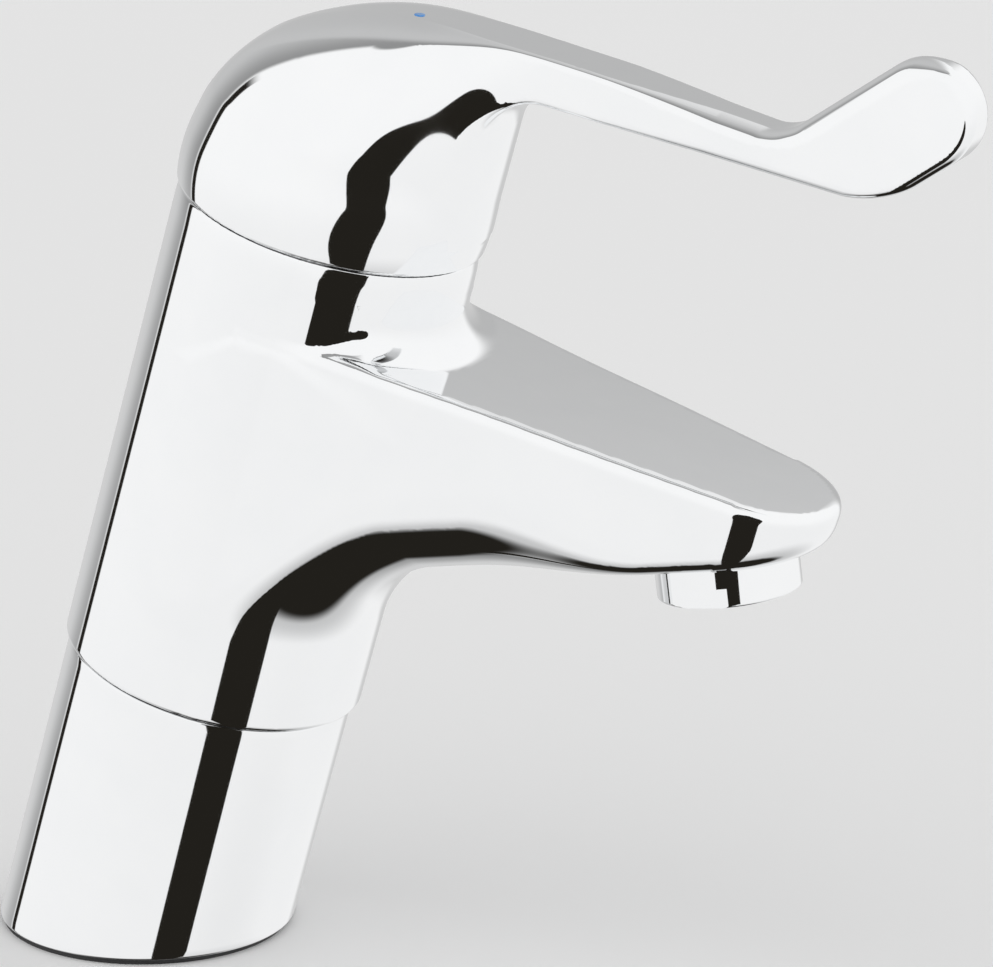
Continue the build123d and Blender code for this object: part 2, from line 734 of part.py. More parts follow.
save("base_gasket", make_base_gasket(), leaned=False)
save("pedestal", make_pedestal(), leaned=False)
save("pedestal_gasket", make_pedestal_gasket())
save("pedestal_screws", make_pedestal_screws())
save("body_casting", make_body_casting())
save("aerator_housing", make_aerator_housing())
save("aerator_insert", make_aerator_insert())
save("aerator_screen", make_aerator_screen())
save("aerator_gasket", make_aerator_gasket())
save("cartridge_base", make_cartridge_base())
save("port_seals", make_port_seals())
save("cartridge_o_ring", make_cartridge_o_ring())
save("fixed_disc", make_fixed_disc())
save("moving_disc", make_moving_disc())
save("disc_carrier", make_disc_carrier())
save("cartridge_rotor", make_cartridge_rotor())
save("rotor_glide_ring", make_rotor_glide_ring())
save("stem_pin", make_stem_pin())
save("cartridge_housing", make_cartridge_housing())
save("limiter_ring", make_limiter_ring())
save("retaining_nut", make_retaining_nut())
save("cover_cap", make_cover_cap())
save("lever_stem", make_lever_stem())
save("lever_handle", make_lever_handle())
save("handle_grub_screw", make_grub_screw())
save("handle_plug", make_handle_plug())
save("cold_mark", make_cold_mark())
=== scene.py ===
import json
import math

import bpy
import numpy as np
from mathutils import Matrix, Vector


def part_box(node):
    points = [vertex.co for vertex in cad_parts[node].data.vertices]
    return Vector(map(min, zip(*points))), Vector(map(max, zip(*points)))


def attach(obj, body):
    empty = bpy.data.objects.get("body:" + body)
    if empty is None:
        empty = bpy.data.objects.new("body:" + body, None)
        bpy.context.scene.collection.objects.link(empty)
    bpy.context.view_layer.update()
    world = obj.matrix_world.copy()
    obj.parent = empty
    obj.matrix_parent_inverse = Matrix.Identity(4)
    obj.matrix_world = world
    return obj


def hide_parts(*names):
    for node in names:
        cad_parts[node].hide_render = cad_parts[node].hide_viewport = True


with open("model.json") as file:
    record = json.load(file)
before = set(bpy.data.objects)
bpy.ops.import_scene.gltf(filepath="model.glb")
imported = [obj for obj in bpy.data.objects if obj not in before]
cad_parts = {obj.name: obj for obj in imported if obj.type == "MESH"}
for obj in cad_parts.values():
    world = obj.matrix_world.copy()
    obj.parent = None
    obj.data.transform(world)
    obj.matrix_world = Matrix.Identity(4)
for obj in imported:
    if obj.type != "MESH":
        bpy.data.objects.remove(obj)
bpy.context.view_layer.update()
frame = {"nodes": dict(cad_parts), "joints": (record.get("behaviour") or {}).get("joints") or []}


# Studio
# A white tent of soft light with a black card beside the camera, one thin black seam on
# the left and a greyer roof and back wall, over a plain pale floor.
camera_azimuth = math.radians(24.0)
camera_elevation = math.radians(16.5)
camera_distance = 0.97985
camera_target = (0.07131, 0.0, 0.09203)
camera_lens = 201.6
camera_sensor = 36.0
camera_near = 0.01
dark_tone = (0.0168, 0.0150, 0.0120)
edge_facing = (-0.808, 0.539, 0.205)
left_side = (0.0, 0.35)
seam_start = (-0.088, -0.072)
seam_end = (-0.004, 0.010)
seam_top = (0.50, 0.62)
ground_edge = (-0.92, -0.86)
wall_edge = (-0.01, 0.05)
roof_edge = (0.961, 0.972)
back_edge = (-0.90, -0.80)
wall_tone = 0.30
wall_depth = (0.0, 0.42)
wall_depth_gain = 0.26
wall_corner = (0.5, 0.9)
wall_corner_loss = 0.06
wall_foot = (-0.35, 0.15)
wall_foot_gain = 0.14
low_fall = (-0.90, -0.62)
low_tone = 0.62
middle_fall = (-0.55, 0.25)
middle_tone = 0.93
card_left = (0.130, -0.276)
card_right = (0.216, -0.150)
card_outline = ((0.000, -1.80), (0.004, -0.30), (0.006, -0.11), (0.000, -0.03), (0.010, 0.030),
                (0.032, 0.080), (0.060, 0.120), (0.094, 0.150), (0.126, 0.168), (0.158, 0.160),
                (0.182, 0.138), (0.187, 0.105), (0.174, 0.070), (0.158, 0.030), (0.148, -0.030),
                (0.146, -0.11), (0.146, -0.30), (0.146, -1.80))
card_cuts = 3
card_cut_share = 0.25
floor_size = 6.0
floor_tone = 0.92


def level_direction(azimuth, elevation):
    """Unit direction from the object, (sin a * cos e, -cos a * cos e, sin e): e is the elevation, and a the
    azimuth counted rightwards from the camera's side, plus the camera's own."""
    turn = camera_azimuth + azimuth
    return (math.sin(turn) * math.cos(elevation), -math.cos(turn) * math.cos(elevation), math.sin(elevation))


def linked(name, data):
    """A new object at the origin that shows this camera or mesh."""
    made = bpy.data.objects.new(name, data)
    bpy.context.scene.collection.objects.link(made)
    return made


def make_camera():
    """The camera stands its distance away from its target, at its azimuth and elevation, and looks back."""
    camera = linked("camera", bpy.data.cameras.new("camera"))
    towards = level_direction(0.0, camera_elevation)
    camera.location = [t + camera_distance * d for t, d in zip(camera_target, towards)]
    camera.rotation_euler = (math.pi / 2 - camera_elevation, 0.0, camera_azimuth)
    camera.data.lens = camera_lens
    camera.data.sensor_width = camera_sensor
    camera.data.sensor_fit = "HORIZONTAL"
    camera.data.clip_start = camera_near
    bpy.context.scene.camera = camera
    bpy.context.scene.view_settings.view_transform = "Standard"


make_camera()


class Shade:
    """One output of a shader node. Arithmetic on it adds Math nodes, and node() adds any other node."""

    def __init__(self, tree, socket=None):
        self.tree = tree
        self.socket = socket

    def node(self, kind, settings=None, output=0, **values):
        """Adds a node: settings first, then the values or links of its sockets. A socket's name has _ for a
        space, or is _ and its number."""
        made = self.tree.nodes.new(kind)
        for name, value in (settings or {}).items():
            setattr(made, name, value)
        for name, value in values.items():
            place = int(name[1:]) if name[0] == "_" else name.replace("_", " ")
            self.fill(made.inputs[place], value)
        return Shade(self.tree, made.outputs[output] if made.outputs else None)

    def fill(self, socket, value):
        """Links a shade to a socket, or sets the socket's own value."""
        if isinstance(value, Shade):
            self.tree.links.new(value.socket, socket)
        else:
            socket.default_value = value

    def maths(self, operation, *values):
        """Adds a Math node of this operation."""
        return self.node("ShaderNodeMath", {"operation": operation},
                         **{f"_{index}": value for index, value in enumerate(values)})

    def __add__(self, other):
        return self.maths("ADD", self, other)

    def __radd__(self, other):
        return self.maths("ADD", other, self)

    def __sub__(self, other):
        return self.maths("SUBTRACT", self, other)

    def __rsub__(self, other):
        return self.maths("SUBTRACT", other, self)

    def __mul__(self, other):
        return self.maths("MULTIPLY", self, other)

    def __rmul__(self, other):
        return self.maths("MULTIPLY", other, self)

    def larger(self, other):
        """The larger of two values."""
        return self.maths("MAXIMUM", self, other)

    def step(self, low, high):
        """Eases from 0 below low to 1 above high."""
        return self.node("ShaderNodeMapRange", {"interpolation_type": "SMOOTHSTEP"},
                         Value=self, From_Min=low, From_Max=high, To_Min=0.0, To_Max=1.0)


def studio_world():
    """The tent, by direction. The seam and the grey wall lie on its left, before and behind a straight edge:
    a direction is behind the edge where its dot product with the edge's facing is above 0. Roof and back are
    grey too, and the tent falls off softly towards the black ground."""
    world = bpy.data.worlds.new("studio")
    bpy.context.scene.world = world
    world.use_nodes = True
    world.node_tree.nodes.clear()
    start = Shade(world.node_tree)
    direction = start.node("ShaderNodeTexCoord", output="Generated")
    x, y, z = (start.node("ShaderNodeSeparateXYZ", output=axis, Vector=direction) for axis in range(3))
    ahead = level_direction(0.0, 0.0)
    side = level_direction(math.pi / 2, 0.0)
    forward = x * ahead[0] + y * ahead[1]
    sideways = x * side[0] + y * side[1]
    behind = edge_facing[0] * forward + edge_facing[1] * sideways + edge_facing[2] * z
    left = 1.0 - sideways.step(*left_side)
    seam = (behind.step(*seam_start) - behind.step(*seam_end)) * left * (1.0 - z.step(*seam_top))
    grey = (behind.step(*wall_edge) * left).larger(z.step(*roof_edge)).larger(1.0 - forward.step(*back_edge))
    shade = wall_tone + wall_depth_gain * behind.step(*wall_depth)
    shade = shade - wall_corner_loss * behind.step(*wall_corner)
    shade = shade + wall_foot_gain * (1.0 - z.step(*wall_foot))
    tone = 1.0 - grey * (1.0 - shade)
    tone = tone * (low_tone + (1.0 - low_tone) * z.step(*low_fall))
    tone = tone * (middle_tone + (1.0 - middle_tone) * z.step(*middle_fall))
    dark = seam.larger(1.0 - z.step(*ground_edge))
    # Beyond the floor the camera itself sees plain white
    seen = start.node("ShaderNodeLightPath", output="Is Camera Ray")
    tone = tone * (1.0 - seen) + seen
    dark = dark * (1.0 - seen)
    pale = start.node("ShaderNodeCombineXYZ", X=tone, Y=tone, Z=tone)
    sky = start.node("ShaderNodeMix", {"data_type": "RGBA"}, output=2, _0=dark, _6=pale, _7=(*dark_tone, 1.0))
    light = start.node("ShaderNodeBackground", Color=sky, Strength=1.0)
    start.node("ShaderNodeOutputWorld", Surface=light)


studio_world()


def empty_finish(name):
    """A new material without nodes, and the shade that its nodes are added to."""
    material = bpy.data.materials.new(name)
    material.use_nodes = True
    material.node_tree.nodes.clear()
    return material, Shade(material.node_tree)


def dark_card():
    """A black card with a bent upper end, upright beside the camera's view and shown only in chrome. Its
    outline runs along the level line from its left to its right mark, and up. Each cut takes the corners off,
    a share of the way along both of their sides."""
    outline = np.array(card_outline)
    keep = 1 - card_cut_share
    for _ in range(card_cuts):
        after = np.roll(outline, -1, axis=0)
        near, far = keep * outline + card_cut_share * after, card_cut_share * outline + keep * after
        outline = np.stack([near, far], 1).reshape(-1, 2)
    foot, head = np.array(card_left), np.array(card_right)
    along = (head - foot) / np.linalg.norm(head - foot)
    points = np.column_stack([foot + along * outline[:, :1], outline[:, 1]])
    mesh = bpy.data.meshes.new("dark_card")
    mesh.from_pydata(points.tolist(), [], [list(range(len(points)))])
    card = linked("dark_card", mesh)
    paint, start = empty_finish("black card")
    surface = start.node("ShaderNodeEmission", Color=(*dark_tone, 1.0))
    start.node("ShaderNodeOutputMaterial", Surface=surface)
    mesh.materials.append(paint)
    card.visible_camera = False
    card.visible_diffuse = False
    card.visible_shadow = False


dark_card()


def plain_floor():
    """A level square far larger than the tap, in one pale tone. The chrome doesn't mirror it."""
    half = floor_size / 2
    corners = [(-half, -half, 0), (half, -half, 0), (half, half, 0), (-half, half, 0)]
    mesh = bpy.data.meshes.new("floor")
    mesh.from_pydata(corners, [], [(0, 1, 2, 3)])
    floor = linked("floor", mesh)
    paint, start = empty_finish("pale floor")
    surface = start.node("ShaderNodeBsdfDiffuse", Color=(floor_tone, floor_tone, floor_tone, 1.0))
    start.node("ShaderNodeOutputMaterial", Surface=surface)
    mesh.materials.append(paint)
    floor.visible_glossy = False


plain_floor()


# Base gasket
# An oval ring of black rubber that seals the pedestal to the deck. It is punched from
# sheet, set back a little under the chromed edge.
rubber_tones = ((0.013, 0.013, 0.014), (0.035, 0.035, 0.036))
noise_roughness = 0.55


def grain(start, lumps, detail=3.0, stretch=(1.0, 1.0, 1.0)):
    """Noise from 0 to 1 on Object coordinates, at this many lumps a metre, stretched along the axes."""
    place = start.node("ShaderNodeTexCoord", output="Object")
    place = start.node("ShaderNodeMapping", Vector=place, Scale=stretch)
    return start.node("ShaderNodeTexNoise", Vector=place, Scale=lumps, Detail=detail,
                      Roughness=noise_roughness)


def tinted(start, mask, tones):
    """A colour between two tones, by a mask."""
    first, second = tones
    return start.node("ShaderNodeMix", {"data_type": "RGBA"}, output=2, _0=mask, _6=(*first, 1.0),
                      _7=(*second, 1.0))


def relief(start, height, strength, depth):
    """Fine relief from a map of heights: how strongly it shows, and its depth in metres from 0 to 1."""
    return start.node("ShaderNodeBump", Height=height, Strength=strength, Distance=depth)


def close_finish(start, **values):
    """Ends a material in one Principled shader with these values or maps."""
    surface = start.node("ShaderNodeBsdfPrincipled", **values)
    start.node("ShaderNodeOutputMaterial", Surface=surface)


def black_rubber():
    """Matt rubber: bloom in soft clouds, and a fine pressed grain."""
    material, start = empty_finish("black rubber")
    cloud = grain(start, 260.0)
    fine = grain(start, 3200.0, 2.0)
    close_finish(start, Base_Color=tinted(start, cloud, rubber_tones), Roughness=0.55 + 0.2 * fine,
                 Normal=relief(start, fine, 0.25, 0.00008))
    return material


def dress(node, material):
    """Gives a CAD piece its finish."""
    slots = frame["nodes"][node].data.materials
    slots.clear()
    slots.append(material)


rubber = black_rubber()
dress("base_gasket", rubber)


# Pedestal
# A chromed brass sleeve that leans with the body and is cut level where it stands on the deck.
# It is turned, with a flange in its foot and a web below the body, and its edges are eased.
pedestal_low, pedestal_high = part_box("pedestal")
gasket_top = pedestal_low[2]
pedestal_radius = (pedestal_high[1] - pedestal_low[1]) / 2
pedestal_top = 0.0535
pedestal_wall = 0.0026
pedestal_foot_rounding = 0.0006
pedestal_rim_rounding = 0.0004
flange_thickness = 0.004
flange_opening_radius = 0.017
web_thickness = 0.004
web_opening_radius = 0.015
pedestal_turns = 256
pedestal_rows = 40
rounding_rows = 7
chrome_tones = ((0.90, 0.91, 0.92), (0.94, 0.945, 0.95))
turn_joint = next(joint for joint in frame["joints"] if joint["name"] == "temperature_turn")
line_up = np.array(turn_joint["axis"])
line_forward = np.array([line_up[2], 0.0, -line_up[0]])


def chrome_plate():
    """Bright chrome: a faint waviness of the plate, and fine wiping marks that only dull it a little."""
    material, start = empty_finish("chrome plate")
    cloud = grain(start, 90.0)
    wiped = grain(start, 900.0, 4.0, (1.0, 1.0, 0.08))
    wave = grain(start, 130.0, 1.0)
    close_finish(start, Base_Color=tinted(start, cloud, chrome_tones), Metallic=1.0,
                 Roughness=0.028 + 0.02 * cloud + 0.025 * wiped.step(0.6, 0.8),
                 Normal=relief(start, wave, 0.05, 0.0001))
    return material


chrome = chrome_plate()


def leaned(x, y, z):
    """Places in metres along the leaning centre line, x to the spout, y across and z up the line, turned into
    the object's own frame: x times the line's forward direction, z times its upward one, and y as it is."""
    return np.stack([x * line_forward[0] + z * line_up[0], y, x * line_forward[2] + z * line_up[2]], axis=-1)


def skin_piece(name, points, squares, body, material, replaced, normals=None):
    """One mesh from points and squares, shaded smooth, riding on a body in place of its CAD piece."""
    mesh = bpy.data.meshes.new(name)
    mesh.vertices.add(len(points))
    mesh.vertices.foreach_set("co", points.astype(np.float32).ravel())
    mesh.loops.add(squares.size)
    mesh.loops.foreach_set("vertex_index", squares.astype(np.int32).ravel())
    mesh.polygons.add(len(squares))
    mesh.polygons.foreach_set("loop_start", np.arange(0, squares.size, 4, dtype=np.int32))
    mesh.polygons.foreach_set("use_smooth", np.ones(len(squares), bool))
    mesh.update(calc_edges=True)
    if normals is not None:
        mesh.normals_split_custom_set_from_vertices(normals.tolist())
    mesh.materials.append(material)
    piece = linked(name, mesh)
    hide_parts(replaced)
    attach(piece, body)


def turned_piece(name, points, body, material, replaced):
    """A closed skin from a grid of points: squares between neighbours, joined round in both directions."""
    rows, columns = points.shape[:2]
    row, column = np.meshgrid(np.arange(rows), np.arange(columns), indexing="ij")
    next_row, next_column = (row + 1) % rows, (column + 1) % columns
    squares = np.stack([row * columns + column, next_row * columns + column,
                        next_row * columns + next_column, row * columns + next_column], -1)
    skin_piece(name, points.reshape(-1, 3), squares.reshape(-1, 4), body, material, replaced)


def round_angles(count):
    """Even angles once round, as a column."""
    return np.linspace(0.0, 2 * math.pi, count + 1)[:-1, None]


def make_pedestal():
    """Outline turned about the centre line. Its foot and flange are level, so their height along the line
    follows the angle: height = (level + radius * cos(angle) * sin(lean)) / cos(lean)."""
    angle = round_angles(pedestal_turns)

    def wall(radius, height):
        return leaned(radius * np.cos(angle), radius * np.sin(angle), height + 0 * angle)

    def level_height(radius, level):
        return (level + radius * np.cos(angle) * -line_forward[2]) / line_up[2]

    outer, inner = pedestal_radius, pedestal_radius - pedestal_wall
    rim, ease = pedestal_rim_rounding, pedestal_foot_rounding
    arc = np.linspace(0.0, math.pi / 2, rounding_rows)[None, :]
    climb = np.linspace(0.0, 1.0, pedestal_rows)[1:-1][None, :]
    foot_radius = outer - ease * (1 - np.sin(arc))
    foot_edge = wall(foot_radius, level_height(foot_radius, gasket_top + ease * (1 - np.cos(arc))))
    start = level_height(outer, gasket_top + ease)
    outside = wall(outer + 0 * climb, start + (pedestal_top - rim - start) * climb)
    top_edge = wall(outer - rim * (1 - np.cos(arc)), pedestal_top - rim * (1 - np.sin(arc)))
    web_low = pedestal_top - web_thickness
    web_top = wall(np.full((1, 2), web_opening_radius), np.array([[pedestal_top, web_low]]))
    ceiling = wall(np.full((1, 1), inner), np.full((1, 1), web_low))
    flange_top = gasket_top + flange_thickness
    bottom = wall(np.full((1, 1), inner), level_height(inner, flange_top))
    opening_x, opening_y = flange_opening_radius * np.cos(angle), flange_opening_radius * np.sin(angle)
    opening_z = np.array([[flange_top, gasket_top]])
    opening = np.stack(np.broadcast_arrays(opening_x, opening_y, opening_z), -1)
    points = np.concatenate([foot_edge, outside, top_edge, web_top, ceiling, bottom, opening], axis=1)
    turned_piece("pedestal_sleeve", points, "root", chrome, "pedestal")


make_pedestal()


# Body casting
# Barrel and spout are one brass casting, polished and chromed. The spout's flat top meets the
# barrel in a rounded collar, its flanks flow out of the barrel, and its underside rises to the nose.
body_low, body_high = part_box("body_casting")
barrel_radius = (body_high[1] - body_low[1]) / 2
barrel_bottom = 0.0540
barrel_top = 0.1436
barrel_top_rounding = 0.0006
barrel_bottom_rounding = 0.0009
pivot_height = float(np.dot(turn_joint["pos_m"], line_up))
lever_clearance = 0.02774
lever_clearance_rounding = 0.0003
spout_top = 0.1283
nose_x = 0.0879
nose_radius = 0.0164
spout_taper = 0.150
spout_waist = 0.0006
spout_waist_x = 0.046
spout_waist_length = 0.014
spout_root_half = 0.0272
spout_root_blend = 0.004
spout_under_x = 0.0874
spout_under_z = 0.1130
spout_under_angle = math.radians(23.4)
spout_top_rounding = 0.0024
spout_low_rounding = 0.0045
spout_root_rounding = 0.0170
spout_low_turn = (0.079, 0.046)
spout_root_fillet = 0.0130
collar_rounding = 0.0010
collar_wide_rounding = 0.0066
collar_turn = (0.90, 0.67)
collar_low = 0.126
collar_low_height = 0.008
centre_radius = 0.001
flank_edge = 0.0012
flank_ease = 0.000352
skirt_wall = 0.003
skirt_ceiling = 0.092
stud_x = 0.008
stud_boss_radius = 0.0068
stud_boss_top = 0.128
stud_hole_radius = 0.0034
stud_mouth = 0.064
stud_depth = 0.014
inlet_x = -0.003
inlet_y = 0.009
inlet_boss_radius = 0.007
inlet_boss_top = 0.1
inlet_hole_radius = 0.0045
inlet_mouth = 0.082
inlet_depth = 0.011
screw_y = 0.0192
screw_boss_radius = 0.0054
screw_boss_top = 0.066
boss_rounding = 0.001
cartridge_bore_radius = 0.0177
cartridge_seat = 0.106
nut_bore_radius = 0.020
nut_bore_depth = 0.0098
bore_end = 0.2
hole_overrun = 0.01
aerator_socket_radius = 0.0118
aerator_mouth = (0.0900, 0.1069)
aerator_socket_start = 0.0017
aerator_socket_end = 0.0148
casting_grid = 0.00078
casting_fine_grid = 0.0004
casting_length = (-0.029, 0.106)
casting_width = (-0.029, 0.029)
casting_heights = (0.0530, 0.0560, 0.1420, 0.1446)
settle_rounds = 4
settle_probe_share = 0.02
settle_step_share = 0.3
settle_least_square = 0.04
least_length = 1e-9


def both(a, b, rounding):
    """What two solids share. Their outer corner is an arc: distances less the rounding, squared and added."""
    inside = np.minimum(-rounding, np.maximum(a, b))
    return inside + np.hypot(np.maximum(rounding + a, 0.0), np.maximum(rounding + b, 0.0))


def either(a, b, rounding):
    """Two solids joined. Their inner corner is filled by an arc of this rounding."""
    outside = np.maximum(rounding, np.minimum(a, b))
    return outside - np.hypot(np.maximum(rounding - a, 0.0), np.maximum(rounding - b, 0.0))


def eased(value, start, end):
    """Goes from 0 at start to 1 at end and is level at both: share squared, times 3 less twice the share."""
    share = np.clip((value - start) / (end - start), 0.0, 1.0)
    return share * share * (3 - 2 * share)


def bar(x, y, z, radius, low, high, at_x=0.0, at_y=0.0):
    """Distance to a round bar along the centre line."""
    return np.maximum(np.hypot(x - at_x, y - at_y) - radius, np.maximum(low - z, z - high))


def spout_plan(x, y):
    """The spout from above: a straight taper, drawn in at the waist, that ends in a half round nose."""
    line = nose_radius * math.hypot(1.0, spout_taper) + spout_taper * (nose_x - x)
    line = line - spout_waist * np.exp(-((x - spout_waist_x) / spout_waist_length) ** 2)
    half = spout_root_half + either(line - spout_root_half, 0.0 * x, spout_root_blend)
    flank = (np.abs(y) - half) / math.hypot(1.0, spout_taper)
    nose = np.hypot(x - nose_x, y) - nose_radius
    return np.maximum(np.where(x - nose_x > spout_taper * np.abs(y), nose, flank), -x)


def spout_field(x, y, z):
    """The spout alone: its plan between the level top and the rising underside. The edge of the underside is
    rounder at the root."""
    rise = spout_under_z + (x - spout_under_x) * math.tan(spout_under_angle)
    under = (rise - z) * math.cos(spout_under_angle)
    rounding = spout_low_rounding + (spout_root_rounding - spout_low_rounding) * eased(x, *spout_low_turn)
    return both(both(spout_plan(x, y) - flank_ease, under, rounding), z - spout_top, spout_top_rounding)


def casting_solid(x, y, z):
    """Barrel and spout, joined in a collar that is wider to the front than at the flanks, and wider still
    below the spout's top. Across the flanks both keep within one outline, with a small edge."""
    radius = np.hypot(x, y)
    barrel = both(both(radius - barrel_radius - flank_ease, z - barrel_top, barrel_top_rounding),
                  barrel_bottom - z, barrel_bottom_rounding)
    side_share = np.clip(np.abs(y) / np.maximum(radius, centre_radius), 0.0, 1.0)
    collar = collar_rounding + (collar_wide_rounding - collar_rounding) * eased(side_share, *collar_turn)
    low_share = np.clip((collar_low - z) / collar_low_height, 0.0, 1.0)
    solid = either(barrel, spout_field(x, y, z), collar + (spout_root_fillet - collar) * low_share)
    outline = np.minimum(radius - barrel_radius, spout_plan(x, y)) - flank_ease
    solid = both(solid, outline, flank_edge)
    # The barrel's upper edge is turned to the ball that the lifted handle's socket runs on
    ball = np.hypot(radius, z - pivot_height) - lever_clearance
    return both(solid, np.where(z > pivot_height, ball, -barrel_radius), lever_clearance_rounding)


def casting_hollow(x, y, z):
    """What is bored out of the casting: the skirt round its bosses, the holes in them, the cartridge's and
    the nut's bores, and the aerator's socket, square to the spout's underside."""
    upright_x = x * line_up[2] + z * line_up[0]
    upright_z = -x * line_up[0] + z * line_up[2]
    skirt = bar(x, y, z, barrel_radius - skirt_wall, barrel_bottom - hole_overrun, skirt_ceiling)
    bosses = bar(upright_x, y, upright_z, stud_boss_radius, stud_mouth, stud_boss_top, stud_x)
    holes = bar(upright_x, y, upright_z, stud_hole_radius, stud_mouth - hole_overrun, stud_mouth + stud_depth,
                stud_x)
    inlet_end = inlet_mouth + inlet_depth
    for side in (-1, 1):
        inlet = inlet_x, side * inlet_y
        inlet_boss = bar(x, y, z, inlet_boss_radius, inlet_mouth, inlet_boss_top, *inlet)
        screw_boss = bar(x, y, z, screw_boss_radius, 0.0, screw_boss_top, 0.0, side * screw_y)
        bosses = np.minimum(bosses, np.minimum(inlet_boss, screw_boss))
        inlet_hole = bar(x, y, z, inlet_hole_radius, inlet_mouth - hole_overrun, inlet_end, *inlet)
        holes = np.minimum(holes, inlet_hole)
    hollow = np.minimum(both(skirt, -bosses, boss_rounding), holes)
    hollow = np.minimum(hollow, bar(x, y, z, cartridge_bore_radius, cartridge_seat, bore_end))
    hollow = np.minimum(hollow, bar(x, y, z, nut_bore_radius, barrel_top - nut_bore_depth, bore_end))
    across, along = x - aerator_mouth[0], z - aerator_mouth[1]
    socket_x = across * math.cos(spout_under_angle) + along * math.sin(spout_under_angle)
    socket_z = -across * math.sin(spout_under_angle) + along * math.cos(spout_under_angle)
    socket = bar(socket_x, y, socket_z, aerator_socket_radius, aerator_socket_start, aerator_socket_end)
    return np.minimum(hollow, socket)


def casting_field(x, y, z):
    """Distance to the casting's skin, negative in the metal."""
    return np.maximum(casting_solid(x, y, z), -casting_hollow(x, y, z))


def spaced(*runs):
    """Grid lines along one axis: each run is (start, end, step), and its last line starts the next run."""
    lines = [np.linspace(a, b, max(2, round((b - a) / step) + 1)) for a, b, step in runs]
    return np.concatenate([line[:-1] for line in lines[:-1]] + [lines[-1]])


def slope_of(field, points, reach):
    """Slope of a field at points, from its values a little to each side."""
    slope = np.empty_like(points)
    for axis in range(3):
        aside = np.zeros(3)
        aside[axis] = reach
        slope[:, axis] = (field(*(points + aside).T) - field(*(points - aside).T)) / (2 * reach)
    return slope


def settle(field, points, step):
    """Points moved on to the skin, each time by value over slope, and the unit slopes there."""
    probe, longest = settle_probe_share * step, settle_step_share * step
    for _ in range(settle_rounds):
        slope = slope_of(field, points, probe)
        steep = np.maximum((slope ** 2).sum(-1), settle_least_square)
        points = points - slope * np.clip(field(*points.T) / steep, -longest, longest)[:, None]
    slope = slope_of(field, points, probe)
    return points, slope / np.maximum(np.linalg.norm(slope, axis=-1, keepdims=True), least_length)


def skin_of(field, lines, step):
    """Closed skin of a field that is negative inside. Every grid cell that the skin crosses gets one point,
    the mean of the crossings on its edges, and every grid edge that it crosses gets one square between four
    cells. The points are then moved along the field's slope on to the skin, and the slope is their normal."""
    value = field(*np.meshgrid(*lines, indexing="ij")).astype(np.float64)
    shape = value.shape
    total = np.zeros((*shape, 3))
    count = np.zeros(shape)
    crossings = []
    for axis in range(3):
        first = tuple(slice(0, -1) if a == axis else slice(None) for a in range(3))
        second = tuple(slice(1, None) if a == axis else slice(None) for a in range(3))
        crossed = (value[first] < 0) != (value[second] < 0)
        at = np.argwhere(crossed)
        before, after = value[first][crossed], value[second][crossed]
        point = np.stack([lines[a][at[:, a]] for a in range(3)], -1)
        point[:, axis] += np.diff(lines[axis])[at[:, axis]] * before / (before - after)
        crossings.append((at, before < 0))
        others = [a for a in range(3) if a != axis]
        for i in (0, 1):
            for j in (0, 1):
                cell = at.copy()
                cell[:, others[0]] -= i
                cell[:, others[1]] -= j
                np.add.at(total, tuple(cell.T), point)
                np.add.at(count, tuple(cell.T), 1)
    used = count > 0
    number = np.full(shape, -1)
    number[used] = np.arange(used.sum())
    points = total[used] / count[used][:, None]
    squares = []
    for axis, (at, inward) in enumerate(crossings):
        one, two = ((1, 2), (2, 0), (0, 1))[axis]
        corners = []
        for i, j in ((0, 0), (1, 0), (1, 1), (0, 1)):
            cell = at.copy()
            cell[:, one] -= i
            cell[:, two] -= j
            corners.append(number[tuple(cell.T)])
        square = np.stack(corners, -1)
        square[~inward] = square[~inward][:, ::-1]
        squares.append(square)
    return settle(field, points, step) + (np.concatenate(squares),)


def field_piece(name, field, lines, step, height, body, material, replaced):
    """A field's skin as a piece. The field's z counts from this height on the centre line."""
    points, normals, squares = skin_of(field, lines, step)
    x, y, z = points.T
    skin_piece(name, leaned(x, y, z + height), squares, body, material, replaced, leaned(*normals.T))


def make_body():
    """The casting's skin, on a grid that is finer where its lower and upper edges are."""
    foot, low, high, top = casting_heights
    lines = (spaced((*casting_length, casting_grid)), spaced((*casting_width, casting_grid)),
             spaced((foot, low, casting_fine_grid), (low, high, casting_grid),
                    (high, top, casting_fine_grid)))
    field_piece("body_shell", casting_field, lines, casting_grid, 0.0, "root", chrome,
                "body_casting")


make_body()


# Cover cap
# A chromed part ball under the handle's skirt, spun from brass sheet. The handle tilts over
# it, so it shares the lever's pivot as its centre.
cap_radius = 0.0276
cap_wall = 0.0013
cap_foot = 0.1436
cap_foot_radius = 0.0261
cap_opening_radius = 0.0132
cap_outside_rows = 48
cap_inside_rows = 32
cap_turns = 192


